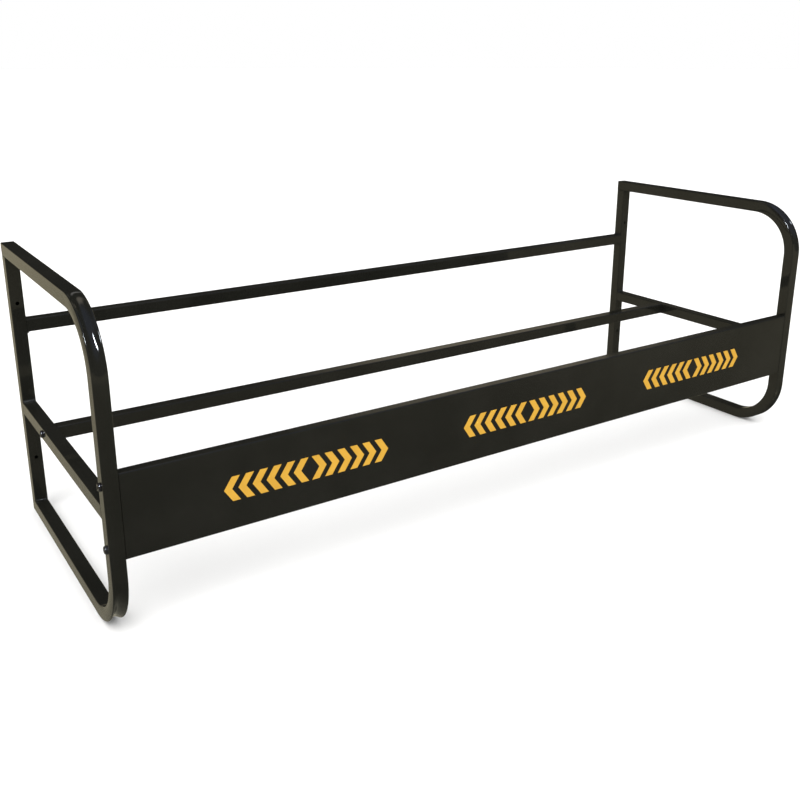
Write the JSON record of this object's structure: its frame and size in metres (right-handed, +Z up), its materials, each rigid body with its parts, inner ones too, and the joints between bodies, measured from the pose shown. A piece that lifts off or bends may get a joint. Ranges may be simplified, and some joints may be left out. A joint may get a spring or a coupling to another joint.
{
  "type": "tyre storage rack",
  "caption": "Long wall rack of black square tube with rounded end frames, two rails and a folded front panel, holding car tyres upright in a row.",
  "frame": {"origin": "on the floor plane, under the middle of the rack", "axes": "+X along the wall, to the right for somebody facing the rack; +Y from the front panel to the wall; +Z up"},
  "size_m": [1.658, 0.567, 0.552],
  "materials": {
    "black_paint": "gloss",
    "black_steel": "black oxide, satin",
    "zinc_steel": "zinc plated",
    "black_plastic": "moulded, satin",
    "amber_film": "printed film, satin gloss"
  },
  "bodies": {
    "root": {"left_hoop_tube": "black_paint", "right_hoop_tube": "black_paint", "left_back_upright": "black_paint", "right_back_upright": "black_paint", "left_cross_bar": "black_paint", "right_cross_bar": "black_paint", "left_frame_welds": "black_paint", "right_frame_welds": "black_paint", "upper_rail": "black_paint", "left_rail_welds": "black_paint", "right_rail_welds": "black_paint", "lower_rail": "black_paint", "left_rail_nut_plate": "zinc_steel", "right_rail_nut_plate": "zinc_steel", "left_rail_bolt": "black_steel", "right_rail_bolt": "black_steel", "front_panel": "black_paint", "left_upper_panel_bolt": "black_steel", "left_lower_panel_bolt": "black_steel", "right_upper_panel_bolt": "black_steel", "right_lower_panel_bolt": "black_steel", "left_upper_panel_nut": "zinc_steel", "left_lower_panel_nut": "zinc_steel", "right_upper_panel_nut": "zinc_steel", "right_lower_panel_nut": "zinc_steel", "left_upper_end_cap": "black_plastic", "left_lower_end_cap": "black_plastic", "right_upper_end_cap": "black_plastic", "right_lower_end_cap": "black_plastic", "left_mark": "amber_film", "centre_mark": "amber_film", "right_mark": "amber_film"}
  },
  "joints": []
}
